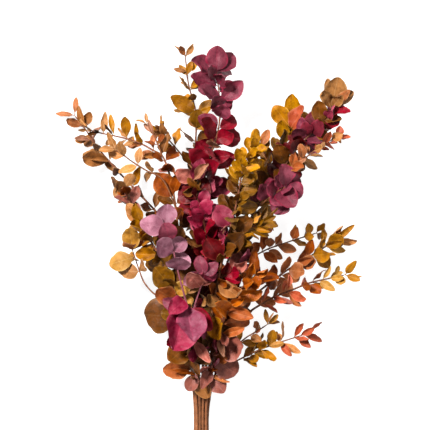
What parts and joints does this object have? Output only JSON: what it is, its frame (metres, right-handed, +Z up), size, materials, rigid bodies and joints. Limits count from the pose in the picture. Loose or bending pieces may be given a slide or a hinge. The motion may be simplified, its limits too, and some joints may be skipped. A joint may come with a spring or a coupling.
{
  "type": "bunch of dried eucalyptus",
  "caption": "Tied bunch of dried eucalyptus lying flat, its leafy branches fanned out in mauve, crimson, rust and mustard.",
  "frame": {"origin": "centre of the flat underside of the tie, on the surface that the bunch lies on", "axes": "+Y along the bunch, from the tie to the leaf tips; +X to the right for someone who looks down on it; +Z up, away from the surface"},
  "size_m": [0.5003, 0.7018, 0.143],
  "materials": {
    "amber_leaves": "matte",
    "mustard_leaves": "matte",
    "gold_leaves": "matte",
    "ochre_leaves": "matte",
    "copper_leaves": "matte",
    "crimson_leaves": "matte",
    "purple_leaves": "matte",
    "wine_leaves": "matte",
    "rust_leaves": "matte",
    "tan_leaves": "matte",
    "lilac_leaves": "matte",
    "olive_leaves": "matte",
    "terracotta_leaves": "matte",
    "jute_twine": "matte",
    "twig_bark": "matte"
  },
  "bodies": {
    "root": {"amber_branch_left": "amber_leaves", "mustard_branch_top": "mustard_leaves", "gold_branch_right": "gold_leaves", "ochre_branch_right": "ochre_leaves", "copper_branch_left": "copper_leaves", "crimson_branch_heart": "crimson_leaves", "purple_branch_top": "purple_leaves", "wine_branch_right": "wine_leaves", "rust_branch_low_right": "rust_leaves", "tan_branch_left": "tan_leaves", "lilac_branch_front": "lilac_leaves", "olive_branch_front": "olive_leaves", "terracotta_branch_front": "terracotta_leaves", "tie": "jute_twine"}
  },
  "joints": []
}
